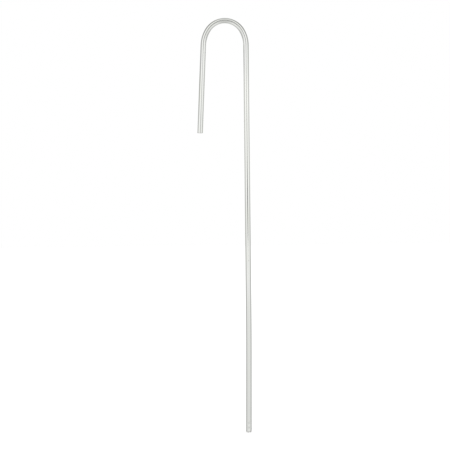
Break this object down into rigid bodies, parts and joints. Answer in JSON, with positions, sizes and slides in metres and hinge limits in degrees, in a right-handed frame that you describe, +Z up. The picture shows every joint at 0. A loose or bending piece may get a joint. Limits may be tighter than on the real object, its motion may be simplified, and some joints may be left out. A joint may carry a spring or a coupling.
{
  "type": "tent stake",
  "caption": "Slim round wire stake with a long straight shank, a rounded cane-like hook and a long open prong, for pinning down tents, awnings and guy lines.",
  "frame": {"origin": "centre of the shank's cut tip, on the shank's axis", "axes": "+Z up the shank from the tip to the hook; the hook lies in the XZ plane with its prong on the -X side; Y runs across the wire"},
  "size_m": [0.029, 0.0032, 0.2286],
  "materials": {
    "zinc_plated_wire": "drawn mild steel wire under bright, clear zinc plate, with faint lengthwise drawing lines"
  },
  "bodies": {
    "root": {"stake_wire": "zinc_plated_wire"}
  },
  "joints": []
}
